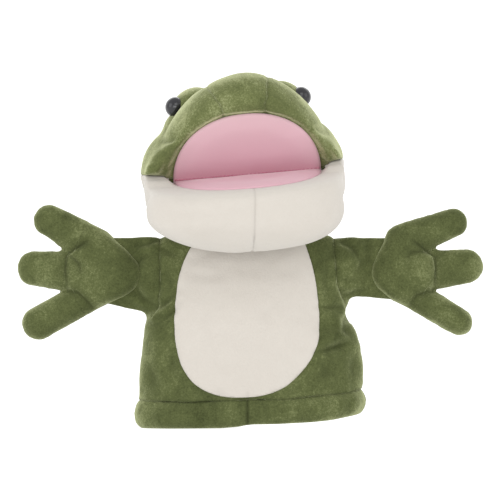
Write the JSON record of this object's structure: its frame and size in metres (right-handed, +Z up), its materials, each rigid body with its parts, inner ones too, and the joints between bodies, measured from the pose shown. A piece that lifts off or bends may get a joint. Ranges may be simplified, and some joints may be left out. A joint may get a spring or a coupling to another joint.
{
  "type": "hand puppet",
  "caption": "Plush frog hand puppet with an open pink mouth, cream jaw and belly, black bead eyes and spread three-fingered arms.",
  "frame": {"origin": "middle of the hem's footprint, on the surface the puppet stands on", "axes": "+Z up; the face and the belly look towards -Y; +X is the puppet's own left hand"},
  "size_m": [0.3482, 0.1351, 0.2682],
  "materials": {
    "green_plush": "short pile velour, matte with a slight sheen",
    "cream_plush": "short pile velour, matte",
    "pink_lining": "smooth satin weave, soft sheen",
    "stuffing": "polyester fibre fill",
    "board": "plain",
    "eye_black": "polished",
    "washer_white": "moulded",
    "inner_cloth": "plain woven lining",
    "thread": "twisted thread"
  },
  "bodies": {
    "body": {"hem_band": "green_plush", "belly_panel": "cream_plush", "body_front_panel_left": "green_plush", "body_front_panel_right": "green_plush", "body_back_panel_left": "green_plush", "body_back_panel_right": "green_plush", "sleeve_lining": "inner_cloth"},
    "neck": {"neck_binding": "green_plush"},
    "lower_jaw": {"chin_panel_left": "cream_plush", "chin_panel_right": "cream_plush", "nape_panel": "green_plush", "lower_jaw_stuffing": "stuffing", "mouth_lining_lower": "pink_lining", "mouth_board_lower": "board", "thumb_pocket": "inner_cloth", "mouth_crease_stitching": "thread"},
    "upper_head": {"crown_panel": "green_plush", "brow_panel_left": "green_plush", "brow_panel_right": "green_plush", "head_back_panel": "green_plush", "upper_head_stuffing": "stuffing", "mouth_lining_upper": "pink_lining", "mouth_board_upper": "board", "finger_pocket": "inner_cloth", "eye_mound_left": "green_plush", "eye_mound_right": "green_plush", "eye_left": "eye_black", "eye_right": "eye_black", "eye_washer_left": "washer_white", "eye_washer_right": "washer_white"},
    "arm_left": {"arm_sleeve_left": "green_plush", "arm_stuffing_left": "stuffing"},
    "hand_left": {"palm_panel_left": "green_plush", "hand_back_panel_left": "green_plush", "palm_stuffing_left": "stuffing"},
    "finger_upper_left_body": {"finger_upper_left": "green_plush", "finger_stuffing_upper_left": "stuffing"},
    "finger_middle_left_body": {"finger_middle_left": "green_plush", "finger_stuffing_middle_left": "stuffing"},
    "finger_lower_left_body": {"finger_lower_left": "green_plush", "finger_stuffing_lower_left": "stuffing"},
    "arm_right": {"arm_sleeve_right": "green_plush", "arm_stuffing_right": "stuffing"},
    "hand_right": {"palm_panel_right": "green_plush", "hand_back_panel_right": "green_plush", "palm_stuffing_right": "stuffing"},
    "finger_upper_right_body": {"finger_upper_right": "green_plush", "finger_stuffing_upper_right": "stuffing"},
    "finger_middle_right_body": {"finger_middle_right": "green_plush", "finger_stuffing_middle_right": "stuffing"},
    "finger_lower_right_body": {"finger_lower_right": "green_plush", "finger_stuffing_lower_right": "stuffing"}
  },
  "joints": [
    {"name": "neck_turn", "type": "hinge", "parent": "body", "child": "neck", "pos_m": [0, 0.023, 0.154], "axis": [0, 0, 1], "range_deg": [-18, 18]},
    {"name": "neck_nod", "type": "hinge", "parent": "neck", "child": "lower_jaw", "pos_m": [0, 0.023, 0.154], "axis": [1, 0, 0], "range_deg": [-12, 6]},
    {"name": "mouth", "type": "hinge", "parent": "lower_jaw", "child": "upper_head", "pos_m": [-0.0025, 0.0115, 0.1895], "axis": [0.9943, 0.0608, 0.0872], "range_deg": [-12, 57]},
    {"name": "shoulder_raise_left", "type": "hinge", "parent": "body", "child": "arm_left", "pos_m": [0.074, 0.023, 0.118], "axis": [0, -1, 0], "range_deg": [-20, 28]},
    {"name": "wrist_fold_left", "type": "hinge", "parent": "arm_left", "child": "hand_left", "pos_m": [0.104, 0.023, 0.118], "axis": [0, 0, -1], "range_deg": [-35, 35]},
    {"name": "finger_curl_upper_left", "type": "hinge", "parent": "hand_left", "child": "finger_upper_left_body", "pos_m": [0.127, 0.023, 0.143], "axis": [0.4008, 0, -0.9162], "range_deg": [-10, 75]},
    {"name": "finger_curl_middle_left", "type": "hinge", "parent": "hand_left", "child": "finger_middle_left_body", "pos_m": [0.138, 0.023, 0.1195], "axis": [0.1028, 0, -0.9947], "range_deg": [-10, 75]},
    {"name": "finger_curl_lower_left", "type": "hinge", "parent": "hand_left", "child": "finger_lower_left_body", "pos_m": [0.1265, 0.023, 0.096], "axis": [-0.4831, 0, -0.8756], "range_deg": [-10, 75]},
    {"name": "shoulder_raise_right", "type": "hinge", "parent": "body", "child": "arm_right", "pos_m": [-0.074, 0.023, 0.118], "axis": [0, 1, 0], "range_deg": [-20, 28]},
    {"name": "wrist_fold_right", "type": "hinge", "parent": "arm_right", "child": "hand_right", "pos_m": [-0.104, 0.023, 0.118], "axis": [0, 0, 1], "range_deg": [-35, 35]},
    {"name": "finger_curl_upper_right", "type": "hinge", "parent": "hand_right", "child": "finger_upper_right_body", "pos_m": [-0.127, 0.023, 0.1425], "axis": [0.498, 0, 0.8672], "range_deg": [-10, 75]},
    {"name": "finger_curl_middle_right", "type": "hinge", "parent": "hand_right", "child": "finger_middle_right_body", "pos_m": [-0.139, 0.023, 0.1175], "axis": [0.1062, 0, 0.9943], "range_deg": [-10, 75]},
    {"name": "finger_curl_lower_right", "type": "hinge", "parent": "hand_right", "child": "finger_lower_right_body", "pos_m": [-0.1275, 0.023, 0.0935], "axis": [-0.4233, 0, 0.906], "range_deg": [-10, 75]}
  ]
}
